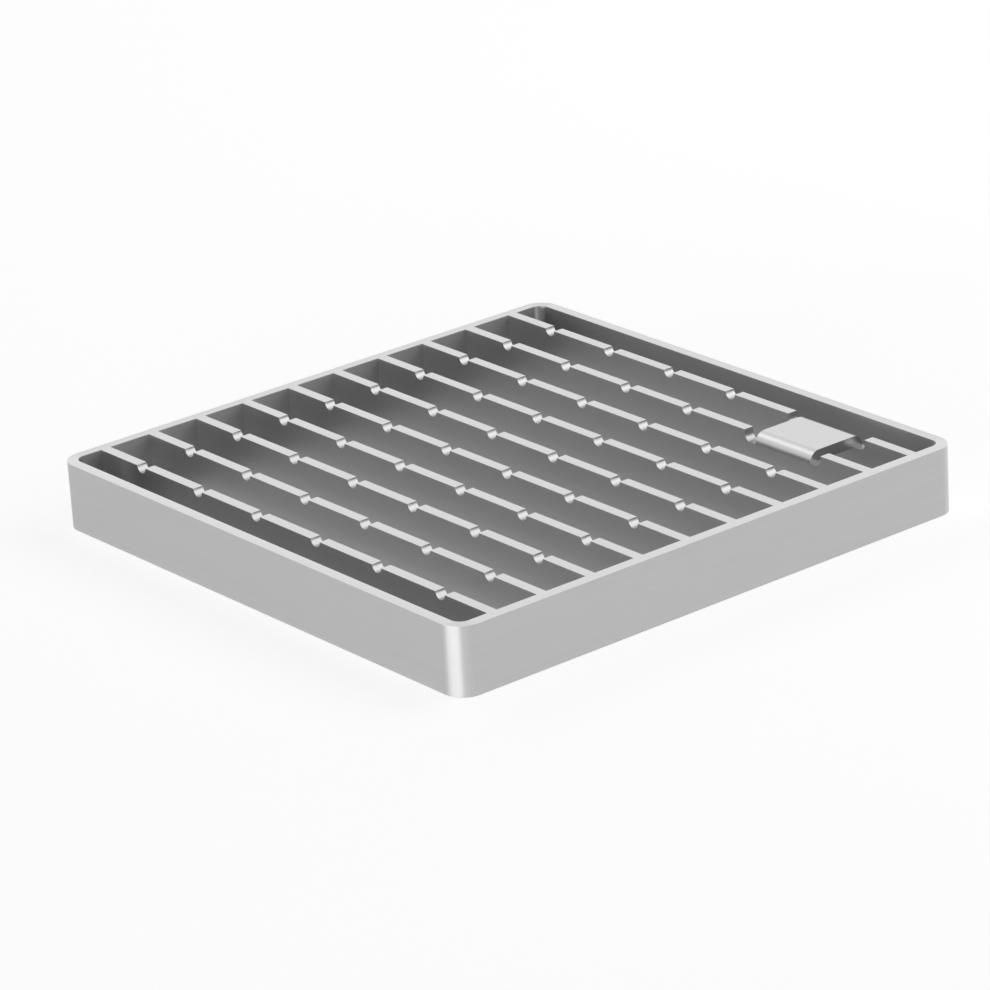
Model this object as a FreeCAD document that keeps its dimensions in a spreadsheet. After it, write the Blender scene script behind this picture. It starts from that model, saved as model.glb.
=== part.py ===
# Square ladder grate for a floor drain, in millimetres.
# A flat strip is bent into a square rim, notched flat bars are welded across it,
# and a badge clip with rounded edges lies in recesses in the last two bars.
# The origin is under the middle of the grate, X runs along the bars and Z is up.
import FreeCAD, Part
import os

import Sketcher

# Driving dimensions: name, value in millimetres, what it measures.
DIMENSIONS = (
    ("side_length", 223.0, "outside length of each side of the rim"),
    ("grate_depth", 25.0, "height of the rim strip and of the bars"),
    ("rim_thickness", 4.0, "thickness of the rim strip"),
    ("inner_bend_radius", 4.0, "inside radius of the rim's bent corners"),
    ("edge_break", 0.1, "rounding on the rim's outer edges and the bars' upper edges"),
    ("bar_thickness", 4.0, "thickness of a bar"),
    ("end_slot", 11.8, "clear slot between the rim and the first or the last bar"),
    ("notch_radius", 2.45, "radius of a half-round non-slip notch"),
    ("notch_end", 24.25, "from the rim to the middle of the nearest notch"),
    ("badge_length", 28.0, "length of the badge clip along the bars"),
    ("badge_side_gap", 5.4, "gap between the badge clip and each end of its recess"),
    ("badge_edge_radius", 4.2, "radius of the badge clip's long upper edges"),
    ("recess_depth", 4.2, "depth of the badge recess, and thickness of the badge clip that lies in it"),
    ("recess_corner_radius", 2.5, "radius in the lower corners of the badge recess"),
)

BAR_COUNT = 10
NOTCH_COUNT = 6
BADGED_BARS = 2
BADGE_NOTCHES = 2  # notches that a badged bar lacks, because the recess takes their place

# Sizes that several pieces share, worked out from the driving dimensions.
BAR_LENGTH = "(dims.side_length - 2 * dims.rim_thickness)"
BAR_PITCH = f"(({BAR_LENGTH} - dims.bar_thickness - 2 * dims.end_slot) / {BAR_COUNT - 1})"
NOTCH_PITCH = f"(({BAR_LENGTH} - 2 * dims.notch_end) / {NOTCH_COUNT - 1})"
OUTER_BEND_RADIUS = "(dims.inner_bend_radius + dims.rim_thickness)"
BADGE_WIDTH = f"({BAR_PITCH} + dims.bar_thickness)"
BADGE_BLANK_HEIGHT = "(dims.badge_edge_radius + dims.recess_depth)"
RECESS_LENGTH = "(dims.badge_length + 2 * dims.badge_side_gap)"
RECESS_CORNER_SHARE = 0.9  # of the recess depth, the most that its corner radius may take

NEAR = 1e-4  # how closely an edge has to lie where it is looked for


def add_dimensions(document):
    """The spreadsheet that holds the driving dimensions, one aliased cell each."""
    sheet = document.addObject("Spreadsheet::Sheet", "dims")
    for row, (alias, value, meaning) in enumerate(DIMENSIONS, 1):
        sheet.set(f"A{row}", meaning)
        sheet.set(f"B{row}", str(value))
        sheet.setAlias(f"B{row}", alias)
    document.recompute()
    return sheet


def add_body(document, label):
    body = document.addObject("PartDesign::Body", label)
    body.Label = label
    return body


def add_sketch(body, name, plane, across="0", up="0"):
    """An empty sketch on one of the body's own planes, its origin moved across and up in that plane."""
    sketch = body.newObject("Sketcher::SketchObject", name)
    support = next(feature for feature in body.Origin.OriginFeatures if feature.Role == plane)
    sketch.AttachmentSupport = [(support, "")]
    sketch.MapMode = "FlatFace"
    sketch.setExpression("AttachmentOffset.Base.x", across)
    sketch.setExpression("AttachmentOffset.Base.y", up)
    return sketch


def draw_rectangle(sketch, width, height):
    """A rectangle centred on the sketch's origin, with its width and height bound to expressions."""
    corners = [FreeCAD.Vector(x, y, 0) for x, y in ((-1, -1), (1, -1), (1, 1), (-1, 1))]
    sides = [sketch.addGeometry(Part.LineSegment(corners[i], corners[(i + 1) % 4])) for i in range(4)]
    for i, side in enumerate(sides):
        sketch.addConstraint(Sketcher.Constraint("Coincident", side, 2, sides[(i + 1) % 4], 1))
        sketch.addConstraint(Sketcher.Constraint("Vertical" if i % 2 else "Horizontal", side))
    sketch.addConstraint(Sketcher.Constraint("Symmetric", sides[0], 1, sides[1], 2, -1, 1))
    bind(sketch, "width", Sketcher.Constraint("DistanceX", sides[0], 1, sides[0], 2, 2), width)
    bind(sketch, "height", Sketcher.Constraint("DistanceY", sides[1], 1, sides[1], 2, 2), height)


def draw_circle(sketch, radius):
    """A circle centred on the sketch's origin, with its radius bound to an expression."""
    circle = sketch.addGeometry(Part.Circle(FreeCAD.Vector(), FreeCAD.Vector(0, 0, 1), 1))
    sketch.addConstraint(Sketcher.Constraint("Coincident", circle, 3, -1, 1))
    bind(sketch, "radius", Sketcher.Constraint("Radius", circle, 1), radius)


def bind(sketch, name, constraint, expression):
    """Adds a constraint whose value follows an expression."""
    sketch.renameConstraint(sketch.addConstraint(constraint), name)
    sketch.setExpression(f"Constraints.{name}", expression)


def pad(body, name, sketch, length, both_ways=False):
    feature = body.newObject("PartDesign::Pad", name)
    feature.Profile = sketch
    feature.SideType = "Symmetric" if both_ways else "One side"
    feature.setExpression("Length", length)
    body.Document.recompute()
    return feature


def cut_through(body, name, sketch):
    """Cuts the sketch's outline through the whole body, on both sides of the sketch."""
    before = body.Shape.Volume
    feature = body.newObject("PartDesign::Pocket", name)
    feature.Profile = sketch
    feature.Type = "ThroughAll"
    feature.SideType = "Symmetric"
    body.Document.recompute()
    check_cut(feature, before)
    return feature


def check_cut(feature, volume_before):
    if feature.Shape.Volume >= volume_before - NEAR:
        raise RuntimeError(f"{feature.Label} cut nothing")


def round_edges(body, name, radius, wanted):
    """Rounds each edge of the body's last feature for which wanted(edge) is true."""
    base = body.Tip
    edges = [f"Edge{i}" for i, edge in enumerate(base.Shape.Edges, 1) if wanted(edge)]
    if not edges:
        raise RuntimeError(f"{name} found no edge to round")
    feature = body.newObject("PartDesign::Fillet", name)
    feature.Base = (base, edges)
    feature.setExpression("Radius", radius)
    body.Document.recompute()
    return feature


def runs_along(edge, axis):
    """True for a straight edge that runs along the x, y or z axis."""
    start, end = edge.Vertexes[0].Point, edge.Vertexes[-1].Point
    sideways = [getattr(end - start, other) for other in "xyz" if other != axis]
    return isinstance(edge.Curve, Part.Line) and max(map(abs, sideways)) < NEAR


def lies_at(edge, **places):
    """True if the edge's middle lies at each given distance from the origin, on either side of it."""
    middle = edge.BoundBox.Center
    return all(abs(abs(getattr(middle, axis)) - place) < NEAR for axis, place in places.items())


def make_rim(document, sheet):
    """The strip bent into a square: the outer bends, the opening, the inner bends, then the edges."""
    body = add_body(document, "rim_band")
    outline = add_sketch(body, "rim_outline", "XY_Plane")
    draw_rectangle(outline, "dims.side_length", "dims.side_length")
    pad(body, "rim_block", outline, "dims.grate_depth")
    round_edges(body, "rim_outer_bends", OUTER_BEND_RADIUS, lambda edge: runs_along(edge, "z"))

    opening = add_sketch(body, "rim_opening", "XY_Plane")
    draw_rectangle(opening, BAR_LENGTH, BAR_LENGTH)
    cut_through(body, "rim_opening_cut", opening)
    inside = sheet.side_length / 2 - sheet.rim_thickness
    round_edges(
        body,
        "rim_inner_bends",
        "dims.inner_bend_radius",
        lambda edge: runs_along(edge, "z") and lies_at(edge, x=inside, y=inside),
    )

    bend = sheet.inner_bend_radius + sheet.rim_thickness

    def is_outer_rim_edge(edge):
        level = edge.BoundBox.ZLength < NEAR
        if isinstance(edge.Curve, Part.Circle):
            return level and abs(edge.Curve.Radius - bend) < NEAR
        return level and (lies_at(edge, x=sheet.side_length / 2) or lies_at(edge, y=sheet.side_length / 2))

    round_edges(body, "rim_edge_break", "dims.edge_break", is_outer_rim_edge)
    return body


def make_bar(document, sheet, index):
    """One flat bar on edge, notched along its top. The last two are also recessed for the badge clip."""
    body = add_body(document, f"ladder_bar_{index + 1:02d}")
    section = add_sketch(body, "bar_section", "YZ_Plane", up="dims.grate_depth / 2")
    draw_rectangle(section, "dims.bar_thickness", "dims.grate_depth")
    pad(body, "bar_stock", section, BAR_LENGTH, both_ways=True)
    round_edges(
        body,
        "bar_edge_break",
        "dims.edge_break",
        lambda edge: runs_along(edge, "x") and lies_at(edge, z=sheet.grate_depth),
    )
    if index < BAR_COUNT - BADGED_BARS:
        add_notches(body, NOTCH_COUNT)
    else:
        add_notches(body, NOTCH_COUNT - BADGE_NOTCHES)
        add_badge_recess(body, sheet)
    body.setExpression("Placement.Base.y", centred_place(index, BAR_COUNT, BAR_PITCH))
    return body


def centred_place(index, count, pitch):
    """Where the piece with this index stands in a centred row; half an index lies between two pieces."""
    return f"{index - (count - 1) / 2} * {pitch}"


def badge_across():
    """The badge clip lies midway between the places of the notches that it replaces."""
    return centred_place(NOTCH_COUNT - (BADGE_NOTCHES + 1) / 2, NOTCH_COUNT, NOTCH_PITCH)


def add_notches(body, count):
    """The first half-round notch along the bar's top edge, and its copies towards high X."""
    before = body.Shape.Volume
    first = centred_place(0, NOTCH_COUNT, NOTCH_PITCH)
    outline = add_sketch(body, "notch", "XZ_Plane", across=first, up="dims.grate_depth")
    draw_circle(outline, "dims.notch_radius")
    notch = cut_through(body, "notch_cut", outline)
    row = body.newObject("PartDesign::LinearPattern", "notch_row")
    row.Originals = [notch]
    row.Direction = (outline, ["H_Axis"])
    row.Mode = "Spacing"
    row.Occurrences = count
    row.setExpression("Offset", NOTCH_PITCH)
    body.Tip = row
    body.Document.recompute()
    check_cut(row, before)


def add_badge_recess(body, sheet):
    """The recess that the badge clip lies flush in, with round lower corners."""
    outline = add_sketch(body, "recess", "XZ_Plane", across=badge_across(), up="dims.grate_depth")
    draw_rectangle(outline, RECESS_LENGTH, "2 * dims.recess_depth")
    cut_through(body, "recess_cut", outline)
    floor = sheet.grate_depth - sheet.recess_depth
    round_edges(
        body,
        "recess_corners",
        f"min(dims.recess_corner_radius; {RECESS_CORNER_SHARE} * dims.recess_depth)",
        lambda edge: runs_along(edge, "y") and lies_at(edge, z=floor),
    )


def make_badge(document, sheet):
    """The clip over the last two bars: a blank with round upper edges, cut down to the recess floors."""
    body = add_body(document, "badge_clip")
    outline = add_sketch(body, "badge_outline", "YZ_Plane", up=f"{BADGE_BLANK_HEIGHT} / 2")
    draw_rectangle(outline, BADGE_WIDTH, BADGE_BLANK_HEIGHT)
    pad(body, "badge_blank", outline, "dims.badge_length", both_ways=True)
    top = sheet.badge_edge_radius + sheet.recess_depth
    round_edges(
        body,
        "badge_round_edges",
        "dims.badge_edge_radius",
        lambda edge: runs_along(edge, "x") and lies_at(edge, z=top),
    )

    underside = add_sketch(body, "badge_underside", "YZ_Plane")
    draw_rectangle(underside, f"2 * {BADGE_WIDTH}", "2 * dims.badge_edge_radius")
    cut_through(body, "badge_underside_cut", underside)
    between_bars = centred_place(BAR_COUNT - (BADGED_BARS + 1) / 2, BAR_COUNT, BAR_PITCH)
    body.setExpression("Placement.Base.x", badge_across())
    body.setExpression("Placement.Base.y", between_bars)
    body.setExpression("Placement.Base.z", f"dims.grate_depth - {BADGE_BLANK_HEIGHT}")
    return body


def check_document(document, bodies):
    """Stops if anything failed to recompute, or a piece isn't one valid solid."""
    for item in document.Objects:
        if "Invalid" in item.State or "Error" in item.State:
            raise RuntimeError(f"{item.Label} failed: {item.State}")
    for body in bodies:
        shape = body.Shape
        if shape.isNull() or not shape.isValid() or len(shape.Solids) != 1:
            raise RuntimeError(f"{body.Label} is not one valid solid")


def main():
    document = FreeCAD.newDocument("ladder_grate")
    sheet = add_dimensions(document)
    bodies = [make_rim(document, sheet)]
    bodies += [make_bar(document, sheet, index) for index in range(BAR_COUNT)]
    bodies.append(make_badge(document, sheet))
    document.recompute()
    check_document(document, bodies)

    os.makedirs("parts", exist_ok=True)
    for body in bodies:
        body.Shape.exportStep(os.path.join("parts", f"{body.Label}.step"))
        print(f"{body.Label}: {body.Shape.Volume / 1000:.3f} cm3")


main()
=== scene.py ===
# Looks of the ladder drain grate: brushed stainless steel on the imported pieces, in a plain white studio.
# Everything is in metres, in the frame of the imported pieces: X along the bars, Z up, the floor at zero.
import math

import bpy
from mathutils import Matrix, Vector


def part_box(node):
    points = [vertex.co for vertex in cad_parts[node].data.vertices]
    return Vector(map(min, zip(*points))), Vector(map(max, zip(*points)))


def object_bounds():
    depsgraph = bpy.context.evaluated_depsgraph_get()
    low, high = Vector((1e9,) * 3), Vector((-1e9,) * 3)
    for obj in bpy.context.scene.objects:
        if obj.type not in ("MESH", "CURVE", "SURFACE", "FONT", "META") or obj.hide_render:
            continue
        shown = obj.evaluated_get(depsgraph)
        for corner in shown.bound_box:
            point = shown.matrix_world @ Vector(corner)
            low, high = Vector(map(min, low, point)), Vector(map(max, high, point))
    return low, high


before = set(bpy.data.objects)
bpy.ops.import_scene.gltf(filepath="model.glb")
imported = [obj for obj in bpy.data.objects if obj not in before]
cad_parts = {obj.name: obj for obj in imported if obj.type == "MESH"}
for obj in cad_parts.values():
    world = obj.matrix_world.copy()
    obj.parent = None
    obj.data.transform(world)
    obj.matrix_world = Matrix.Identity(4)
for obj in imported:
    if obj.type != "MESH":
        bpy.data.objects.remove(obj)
cad_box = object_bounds()

MM = 0.001

# Camera, fitted to the straight edges of the grate in the photograph. Angles are in degrees.
CAMERA_TARGET = Vector((5.2, -8.9, 12.5)) * MM
CAMERA_DISTANCE = 1699.3 * MM
CAMERA_AZIMUTH = 51.716
CAMERA_ELEVATION = 21.593
CAMERA_ROLL = 3.480
CAMERA_LENS_MM = 177.62
CAMERA_SENSOR_MM = 36.0

# Studio: a white floor in a white room. The glow lifts the floor to white where the camera and reflections
# see it, and the room lights the floor less than it shows in the steel, so the shadow stays.
WHITE_HEX = "#FFFFFF"
FLOOR_SIZE = 24.0
FLOOR_HEX = "#F4F4F4"
FLOOR_GLOW = 0.50
ROOM_SEEN = 1.0
ROOM_FILL = 0.34

# Softboxes: name, azimuth and elevation in degrees, distance, width and height in metres, radiance.
# Azimuth 0 is the low Y side, 90 the high X side.
SOFTBOXES = (
    ("back_softbox", 231.7, 22, 1.8, 2.4, 0.9, 0.28),
    ("high_right_softbox", 165, 48, 1.5, 1.2, 1.0, 0.75),
    ("front_strip", 10, 4, 1.6, 2.0, 0.2, 11.5),
    ("right_strip", 178, 4, 1.6, 1.1, 0.2, 4.0),
    ("side_softbox", 125, 28, 1.6, 1.2, 0.7, 0.6),
    ("high_left_softbox", 279, 41, 1.6, 0.85, 0.5, 0.85),
)

# Sizes of the grate that its finishes follow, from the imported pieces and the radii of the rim's bends.
WALKING_FACE = cad_box[1][2]
RECESS_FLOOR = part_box("badge_clip")[0][2]  # the badge clip lies on it
INNER_BEND = 4.0 * MM
OUTER_BEND = 8.0 * MM
BEND_CENTRE = cad_box[1][0] - OUTER_BEND  # from the middle of the grate, along X and Y
ABOVE_ALL = 1.0  # more than any height on the grate

# Brushing marks are 0.05 mm wide on the real steel, too fine to show, so they are drawn ten times as wide.
LINE_WIDTH = 0.5 * MM
LINE_LENGTH = 45.0 * MM
LINE_HEIGHT = 0.002 * MM
LINE_OCTAVES = 2.0
LINE_GRIT = 0.6  # how much each finer octave counts
LINE_LOW = 0.3  # the noise from low to high is stretched over the whole swing of tone
LINE_HIGH = 0.7

# Direction across the lines: upright on the sides of a bar or strip, level on its top edge.
BAR_ACROSS = {"Y": 0.3, "Z": 1.0}
STRIP_UPRIGHT = (0.0, 0.0, 6.0 * MM)  # added to the way outwards through the strip

# Bloom: faint patches that pickling leaves.
BLOOM_SIZE = 9.0 * MM
BLOOM_OCTAVES = 3.0
BLOOM_GRIT = 0.55
BLOOM_SHARE = 0.35  # its part in the tone, where the lines have the rest

# Wear and painted highlight: feet rub the walking face paler, and all that turns from upright to level is
# painted paler, partly as rubbing and partly as a highlight.
WALKED_FULLY = 0.05 * MM  # depth under the walking face down to which it is all rubbed
WALKED_FADES = 0.35 * MM  # depth at which the rubbing ends
TURN_PEAK = 0.25  # the most that the product of two squares reaches, if they add up to 1

# Gloss of the steel.
BRIGHT_SMOOTHER = 0.02  # bright steel is smoother than the mean by this, and dull steel rougher
RUBBED_SMOOTHER = 0.03
ROLLED_SMOOTHER = 0.05  # on the strip's inner face, which is left as rolled
GLANCING_HEX = "#F0F0F0"  # steel darkens a little at glancing angles

# Sockets of a Mix node, by number, because several of them share a name.
MIX_FACTOR = 0
MIX_NUMBERS = (2, 3)
MIX_COLOURS = (6, 7)
MIXED_NUMBER = 0
MIXED_COLOUR = 2


def linear(colour):
    """An sRGB hex colour as the linear RGBA that a node takes."""
    channels = [int(colour[i : i + 2], 16) / 255 for i in (1, 3, 5)]
    return (*[c / 12.92 if c <= 0.04045 else ((c + 0.055) / 1.055) ** 2.4 for c in channels], 1.0)


def add_node(tree, kind, inputs=None, **settings):
    """A node with its settings; an input is a value, or another node's output to link."""
    node = tree.nodes.new(kind)
    for name, value in settings.items():
        setattr(node, name, value)
    for key, value in (inputs or {}).items():
        if isinstance(value, bpy.types.NodeSocket):
            tree.links.new(value, node.inputs[key])
        else:
            node.inputs[key].default_value = value
    return node


def new_material(name):
    """A material and its empty node tree."""
    material = bpy.data.materials.new(name)
    material.use_nodes = True
    material.node_tree.nodes.clear()
    return material, material.node_tree


def lines_along_bar(tree, place):
    """Brushing along X, the direction across it, and where the steel is left as rolled: nowhere."""
    spacing = (1 / LINE_LENGTH, 1 / LINE_WIDTH, 1 / LINE_WIDTH)
    stretched = add_node(tree, "ShaderNodeVectorMath", {0: place, 1: spacing}, operation="MULTIPLY")
    lines = add_node(
        tree,
        "ShaderNodeTexNoise",
        {"Vector": stretched.outputs[0], "Scale": 1.0, "Detail": LINE_OCTAVES, "Roughness": LINE_GRIT},
    )
    across = add_node(tree, "ShaderNodeCombineXYZ", BAR_ACROSS)
    return lines.outputs[0], across.outputs["Vector"], None


def lines_along_strip(tree, place):
    """Brushing along the bent strip, the direction across it, and where it is left as rolled: inside."""
    side = add_node(tree, "ShaderNodeVectorMath", {0: place}, operation="SIGN")
    reach = add_node(tree, "ShaderNodeVectorMath", {0: place}, operation="ABSOLUTE")
    # The distance beyond the corner bends' centres is the same all round the strip. Height is left out.
    past_centre = add_node(
        tree,
        "ShaderNodeVectorMath",
        {0: reach.outputs[0], 1: (BEND_CENTRE, BEND_CENTRE, ABOVE_ALL)},
        operation="SUBTRACT",
    )
    past_centre = add_node(
        tree,
        "ShaderNodeVectorMath",
        {0: past_centre.outputs[0], 1: (0.0, 0.0, 0.0)},
        operation="MAXIMUM",
    )
    distance = add_node(tree, "ShaderNodeVectorMath", {0: past_centre.outputs[0]}, operation="LENGTH")
    rolled = add_node(
        tree,
        "ShaderNodeMapRange",
        {
            "Value": distance.outputs["Value"],
            "From Min": INNER_BEND,
            "From Max": OUTER_BEND,
            "To Min": 1.0,
            "To Max": 0.0,
        },
        interpolation_type="SMOOTHSTEP",
    )
    layer = add_node(
        tree,
        "ShaderNodeMath",
        {0: distance.outputs["Value"], 1: 1 / LINE_WIDTH},
        operation="MULTIPLY",
    )
    spacing = (1 / LINE_LENGTH, 1 / LINE_LENGTH, 1 / LINE_WIDTH)
    stretched = add_node(tree, "ShaderNodeVectorMath", {0: place, 1: spacing}, operation="MULTIPLY")
    lines = add_node(
        tree,
        "ShaderNodeTexNoise",
        {
            "Vector": stretched.outputs[0],
            "W": layer.outputs[0],
            "Scale": 1.0,
            "Detail": LINE_OCTAVES,
            "Roughness": LINE_GRIT,
        },
        noise_dimensions="4D",
    )
    outwards = add_node(
        tree,
        "ShaderNodeVectorMath",
        {0: past_centre.outputs[0], 1: side.outputs[0]},
        operation="MULTIPLY",
    )
    across = add_node(
        tree,
        "ShaderNodeVectorMath",
        {0: outwards.outputs[0], 1: STRIP_UPRIGHT},
        operation="ADD",
    )
    return lines.outputs[0], across.outputs[0], rolled.outputs[0]


def turned_rub_and_highlight(tree, bends):
    """1 where a surface turns from upright to level, as rolls and notches do; part of it on corner bends. A
    mask for a paler colour there, partly rubbing and partly painted highlight.
    """
    normal = add_node(tree, "ShaderNodeNewGeometry").outputs["Normal"]
    square = add_node(tree, "ShaderNodeVectorMath", {0: normal, 1: normal}, operation="MULTIPLY")
    square = add_node(tree, "ShaderNodeSeparateXYZ", {0: square.outputs[0]})
    upright = add_node(tree, "ShaderNodeMath", {0: 1.0, 1: square.outputs["Z"]}, operation="SUBTRACT")
    roll = add_node(
        tree,
        "ShaderNodeMath",
        {0: square.outputs["Z"], 1: upright.outputs[0]},
        operation="MULTIPLY",
    )
    corner = add_node(
        tree,
        "ShaderNodeMath",
        {0: square.outputs["X"], 1: square.outputs["Y"]},
        operation="MULTIPLY",
    )
    corner = add_node(tree, "ShaderNodeMath", {0: corner.outputs[0], 1: bends}, operation="MULTIPLY")
    most = add_node(tree, "ShaderNodeMath", {0: roll.outputs[0], 1: corner.outputs[0]}, operation="MAXIMUM")
    turned = add_node(
        tree,
        "ShaderNodeMath",
        {0: most.outputs[0], 1: 1 / TURN_PEAK},
        operation="MULTIPLY",
        use_clamp=True,
    )
    return turned.outputs[0]


def walked_places(tree, height):
    """1 on the walking face, fading out a little way down its edges."""
    walked = add_node(
        tree,
        "ShaderNodeMapRange",
        {"Value": height, "From Min": WALKING_FACE - WALKED_FADES, "From Max": WALKING_FACE - WALKED_FULLY},
        interpolation_type="SMOOTHSTEP",
    )
    return walked.outputs[0]


def painted_recess_shade(tree, height):
    """Painted shade: from 0 at the walking face to 1 on the floor of a recess, on faces that look up."""
    depth = add_node(
        tree,
        "ShaderNodeMapRange",
        {"Value": height, "From Min": WALKING_FACE, "From Max": RECESS_FLOOR},
    )
    normal = add_node(tree, "ShaderNodeNewGeometry").outputs["Normal"]
    facing = add_node(tree, "ShaderNodeSeparateXYZ", {0: normal}).outputs["Z"]
    recess_shade = add_node(
        tree,
        "ShaderNodeMath",
        {0: depth.outputs[0], 1: facing},
        operation="MULTIPLY",
        use_clamp=True,
    )
    return recess_shade.outputs[0]


def brushed_stainless(name, pattern, dull, bright, rubbed_and_highlight, roughness, brushing, bends=0.0, recess_shade=None):
    """Brushed stainless steel: satin grey with fine lines, faint bloom, paler where feet rub it, painted
    highlights on its turns and corner bends, and painted shade in its deep cuts.

    dull and bright are its colours; the third colour is the paler one of rubbing and painted highlight, and
    the last argument, where given, the colour of painted shade in notches and recesses.
    brushing is how far the lines draw out the light, and bends how far the corner bends are painted paler,
    as rubbing and as a highlight.
    """
    material, tree = new_material(name)
    number_a, number_b = MIX_NUMBERS
    colour_a, colour_b = MIX_COLOURS
    place = add_node(tree, "ShaderNodeTexCoord").outputs["Object"]
    height = add_node(tree, "ShaderNodeSeparateXYZ", {0: place}).outputs["Z"]
    lines, across, rolled = pattern(tree, place)
    lines = add_node(
        tree,
        "ShaderNodeMapRange",
        {"Value": lines, "From Min": LINE_LOW, "From Max": LINE_HIGH},
    ).outputs[0]
    bloom = add_node(
        tree,
        "ShaderNodeTexNoise",
        {"Vector": place, "Scale": 1 / BLOOM_SIZE, "Detail": BLOOM_OCTAVES, "Roughness": BLOOM_GRIT},
    ).outputs[0]
    tone = add_node(
        tree,
        "ShaderNodeMix",
        {MIX_FACTOR: BLOOM_SHARE, number_a: lines, number_b: bloom},
        data_type="FLOAT",
    ).outputs[MIXED_NUMBER]
    # Painted highlight and wear: paler where feet rub the walking face, and on turns and corner bends,
    # partly as rubbing and partly as a painted highlight.
    wear_and_highlight = add_node(
        tree,
        "ShaderNodeMath",
        {0: turned_rub_and_highlight(tree, bends), 1: walked_places(tree, height)},
        operation="MAXIMUM",
    ).outputs[0]

    colour = add_node(
        tree,
        "ShaderNodeMix",
        {MIX_FACTOR: tone, colour_a: linear(dull), colour_b: linear(bright)},
        data_type="RGBA",
    ).outputs[MIXED_COLOUR]
    colour = add_node(
        tree,
        "ShaderNodeMix",
        {MIX_FACTOR: wear_and_highlight, colour_a: colour, colour_b: linear(rubbed_and_highlight)},
        data_type="RGBA",
    ).outputs[MIXED_COLOUR]
    # Painted shade: upward faces in notches and recesses are darkened, more the deeper they lie.
    if recess_shade:
        colour = add_node(
            tree,
            "ShaderNodeMix",
            {MIX_FACTOR: painted_recess_shade(tree, height), colour_a: colour, colour_b: linear(recess_shade)},
            data_type="RGBA",
        ).outputs[MIXED_COLOUR]

    rough = add_node(
        tree,
        "ShaderNodeMapRange",
        {"Value": tone, "To Min": roughness + BRIGHT_SMOOTHER, "To Max": roughness - BRIGHT_SMOOTHER},
    ).outputs[0]
    rough = add_node(
        tree,
        "ShaderNodeMath",
        {0: wear_and_highlight, 1: -RUBBED_SMOOTHER, 2: rough},
        operation="MULTIPLY_ADD",
    ).outputs[0]
    if rolled:
        rough = add_node(
            tree,
            "ShaderNodeMath",
            {0: rolled, 1: -ROLLED_SMOOTHER, 2: rough},
            operation="MULTIPLY_ADD",
        ).outputs[0]

    bump = add_node(
        tree,
        "ShaderNodeBump",
        {"Height": lines, "Distance": LINE_HEIGHT, "Strength": 1.0},
    )
    shader = add_node(
        tree,
        "ShaderNodeBsdfPrincipled",
        {
            "Base Color": colour,
            "Metallic": 1.0,
            "Roughness": rough,
            "Anisotropic": brushing,
            "Specular Tint": linear(GLANCING_HEX),
            "Tangent": across,
            "Normal": bump.outputs["Normal"],
        },
    )
    add_node(tree, "ShaderNodeOutputMaterial", {"Surface": shader.outputs["BSDF"]})
    return material


def seen_rays(tree):
    """1 for rays by which the camera sees a surface, straight or in a reflection or through glass."""
    path = add_node(tree, "ShaderNodeLightPath")
    seen = add_node(
        tree,
        "ShaderNodeMath",
        {0: path.outputs["Is Camera Ray"], 1: path.outputs["Is Glossy Ray"]},
        operation="MAXIMUM",
    )
    seen = add_node(
        tree,
        "ShaderNodeMath",
        {0: seen.outputs[0], 1: path.outputs["Is Transmission Ray"]},
        operation="MAXIMUM",
    )
    return seen.outputs[0]


def add_floor():
    """A white floor that keeps the grate's soft shadow."""
    # Matt white paint: no gloss at all, so that it shows nothing but the shadow.
    material, tree = new_material("matt_white_studio_floor")
    glow = add_node(tree, "ShaderNodeMath", {0: seen_rays(tree), 1: FLOOR_GLOW}, operation="MULTIPLY")
    shader = add_node(
        tree,
        "ShaderNodeBsdfPrincipled",
        {
            "Base Color": linear(FLOOR_HEX),
            "Roughness": 1.0,
            "Specular IOR Level": 0.0,
            "Emission Color": linear(WHITE_HEX),
            "Emission Strength": glow.outputs[0],
        },
    )
    add_node(tree, "ShaderNodeOutputMaterial", {"Surface": shader.outputs["BSDF"]})
    bpy.ops.object.select_all(action="DESELECT")
    bpy.ops.mesh.primitive_plane_add(size=FLOOR_SIZE)
    floor = bpy.context.object
    floor.name = "studio_floor"
    floor.data.materials.append(material)


def set_room():
    """The white room around the grate."""
    world = bpy.data.worlds.new("white_room")
    bpy.context.scene.world = world
    world.use_nodes = True
    tree = world.node_tree
    tree.nodes.clear()
    strength = add_node(
        tree,
        "ShaderNodeMapRange",
        {"Value": seen_rays(tree), "To Min": ROOM_FILL, "To Max": ROOM_SEEN},
    )
    background = add_node(
        tree,
        "ShaderNodeBackground",
        {"Color": linear(WHITE_HEX), "Strength": strength.outputs["Result"]},
    )
    add_node(tree, "ShaderNodeOutputWorld", {"Surface": background.outputs["Background"]})


def direction(azimuth, elevation):
    """The unit vector from the grate towards a place at this azimuth and elevation, in degrees."""
    azimuth = math.radians(azimuth)
    elevation = math.radians(elevation)
    level = math.cos(elevation)
    return Vector((level * math.sin(azimuth), -level * math.cos(azimuth), math.sin(elevation)))


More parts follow.
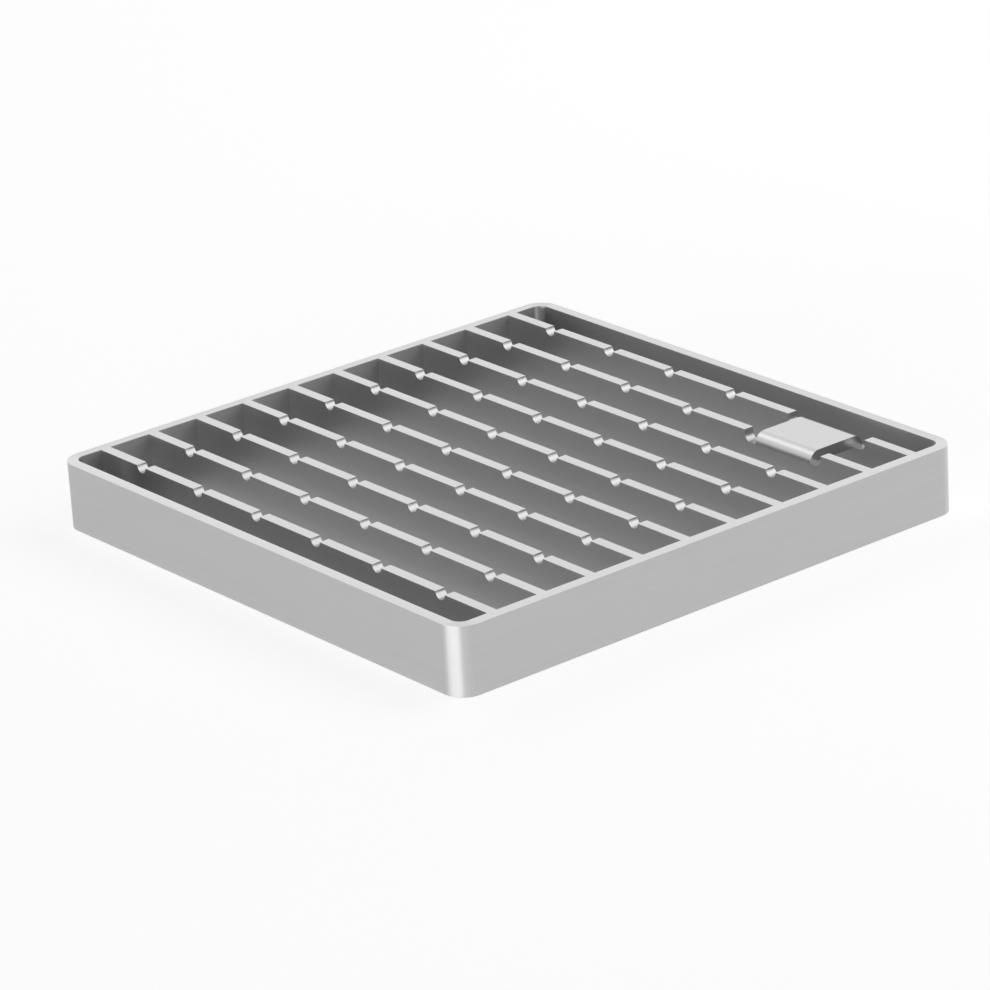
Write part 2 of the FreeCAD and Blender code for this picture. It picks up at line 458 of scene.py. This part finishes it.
def add_softbox(name, azimuth, elevation, distance, width, height, radiance):
    """A soft rectangular lamp that faces the grate and looks this bright in a mirror."""
    towards = direction(azimuth, elevation)
    bpy.ops.object.light_add(type="AREA", location=towards * distance)
    lamp = bpy.context.object
    lamp.name = name
    lamp.rotation_euler = (-towards).to_track_quat("-Z", "Y").to_euler()
    lamp.data.shape = "RECTANGLE"
    lamp.data.size = width
    lamp.data.size_y = height
    lamp.data.energy = radiance * math.pi * width * height
    lamp.visible_camera = False


def add_camera():
    """The camera at the photograph's viewing angle."""
    towards = direction(CAMERA_AZIMUTH, CAMERA_ELEVATION)
    bpy.ops.object.camera_add(location=CAMERA_TARGET + towards * CAMERA_DISTANCE)
    camera = bpy.context.object
    camera.name = "photo_camera"
    level = (-towards).to_track_quat("-Z", "Y").to_matrix()
    camera.rotation_euler = (level @ Matrix.Rotation(-math.radians(CAMERA_ROLL), 3, "Z")).to_euler()
    camera.data.lens = CAMERA_LENS_MM
    camera.data.sensor_width = CAMERA_SENSOR_MM
    bpy.context.scene.camera = camera


# Stainless strip, bent into the rim and linished along its length: an even satin grey with fine lines that
# run round the rim, light drawn out across them, a paler top edge where feet rub it, and corner bends and
# rounded edges painted paler, partly as rubbing and partly as a highlight.
# Its inner face is left as rolled, a little smoother.
rim_steel = brushed_stainless(
    "linished_stainless_strip",
    lines_along_strip,
    dull="#B8B8B8",
    bright="#BDBDBD",
    rubbed_and_highlight="#CBCBCB",
    roughness=0.40,
    brushing=0.7,
    # corner bends painted paler, partly as rubbing and partly as a highlight
    bends=0.6,
)

# Stainless clip, ground smooth: a paler satin, with a soft streak of light along its rounded edges, partly
# painted there as a paler highlight.
clip_steel = brushed_stainless(
    "ground_stainless_clip",
    lines_along_bar,
    dull="#BFBFBF",
    bright="#C5C5C5",
    rubbed_and_highlight="#C5C5C5",
    roughness=0.32,
    brushing=0.5,
)

# Drawn stainless flat bar: satin sides that mirror the dark slots softly, tops walked pale, notch roundings
# painted paler, partly as rubbing and partly as a highlight, and painted shade on the upward faces of
# notches and recesses, darker the deeper they lie.
bar_steel = brushed_stainless(
    "drawn_stainless_bar",
    lines_along_bar,
    dull="#BFBFBF",
    bright="#C5C5C5",
    rubbed_and_highlight="#C6C6C6",
    roughness=0.32,
    brushing=0.5,
    # painted shade for notches and recesses
    recess_shade="#9C9C9C",
)

finishes = {"rim_band": rim_steel, "badge_clip": clip_steel}
for name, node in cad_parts.items():
    node.data.materials.clear()
    node.data.materials.append(finishes.get(name, bar_steel))

add_floor()
set_room()
for softbox in SOFTBOXES:
    add_softbox(*softbox)
add_camera()
bpy.context.scene.view_settings.view_transform = "Standard"
